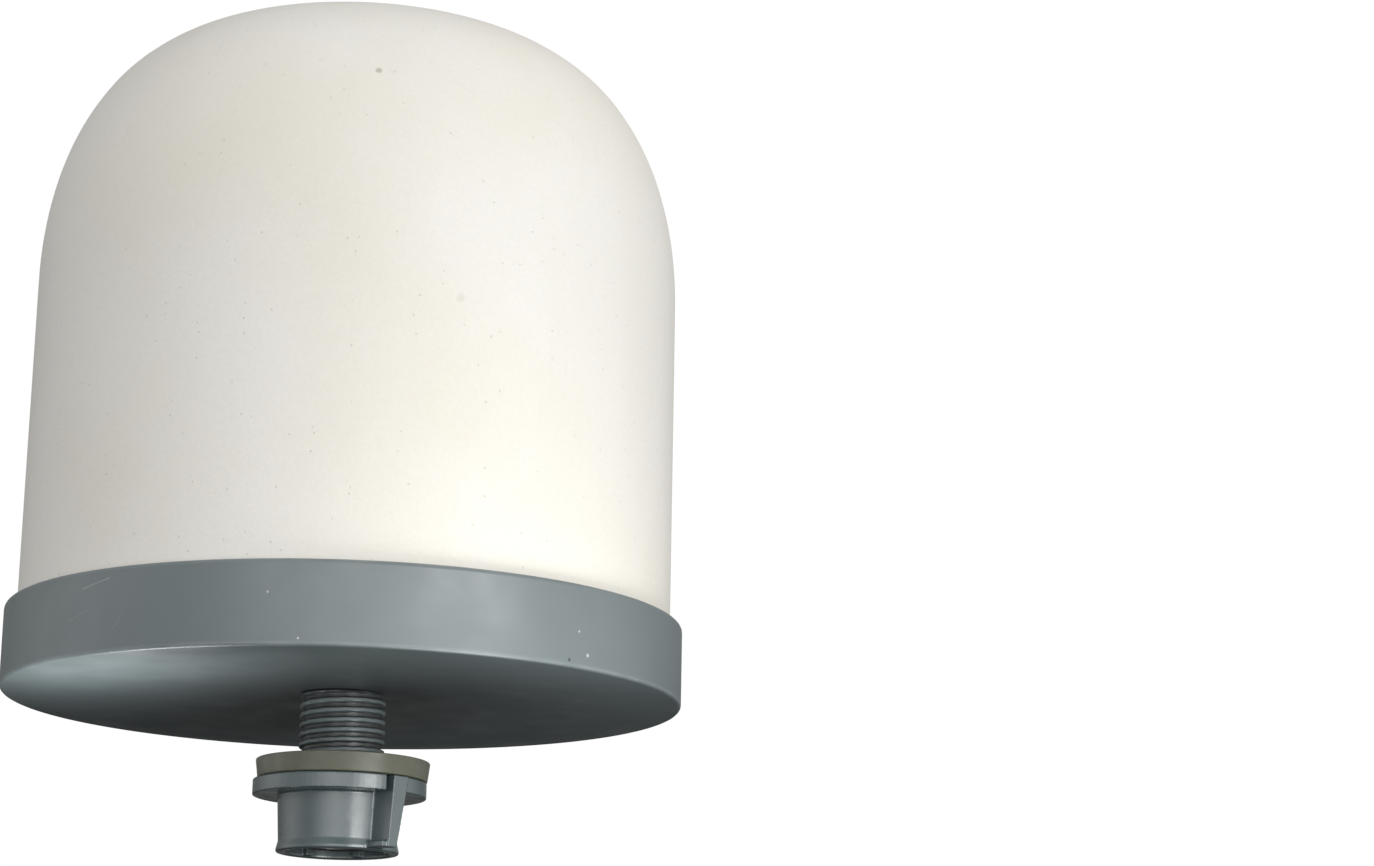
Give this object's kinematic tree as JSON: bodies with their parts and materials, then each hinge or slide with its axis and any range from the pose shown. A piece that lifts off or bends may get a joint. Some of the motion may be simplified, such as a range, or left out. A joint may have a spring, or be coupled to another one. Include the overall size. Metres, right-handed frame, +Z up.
{
  "type": "ceramic dome water filter",
  "caption": "Ceramic dome filter element on a round base cap, with a hollow threaded stem, a washer and a wing nut that clamp it to a tank floor.",
  "frame": {"origin": "on the filter's axis, in the plane that the base cap rests on", "axes": "+Z up through the dome, away from the stem; the nut's ear points between +X and -Y"},
  "size_m": [0.096, 0.096, 0.1199],
  "materials": {
    "cream_ceramic": "matte",
    "activated_carbon": "matte",
    "white_felt": "matte",
    "white_plastic": "satin",
    "amber_resin": "gloss",
    "grey_plastic": "satin",
    "olive_silicone": "satin",
    "nut_plastic": "satin"
  },
  "bodies": {
    "filter": {"ceramic_dome": "cream_ceramic", "carbon_bed": "activated_carbon", "felt_pad": "white_felt", "retaining_plate": "white_plastic", "outlet_strainer": "white_plastic", "bond_ring": "amber_resin", "base_cap": "grey_plastic"},
    "washer": {"sealing_washer": "olive_silicone"},
    "nut": {"wing_nut": "nut_plastic"}
  },
  "joints": [
    {"name": "washer_slide", "type": "slide", "parent": "filter", "child": "washer", "axis": [0, 0, 1], "range_m": [-0.0077, 0.0091]},
    {"name": "nut_spin", "type": "hinge", "parent": "washer", "child": "nut", "pos_m": [0, 0, 0], "axis": [0, 0, 1], "range_deg": [-1982, 2342]}
  ],
  "couplings": [
    {"joint": "nut_spin", "follows": "washer_slide", "rad_per_m": 4488}
  ]
}
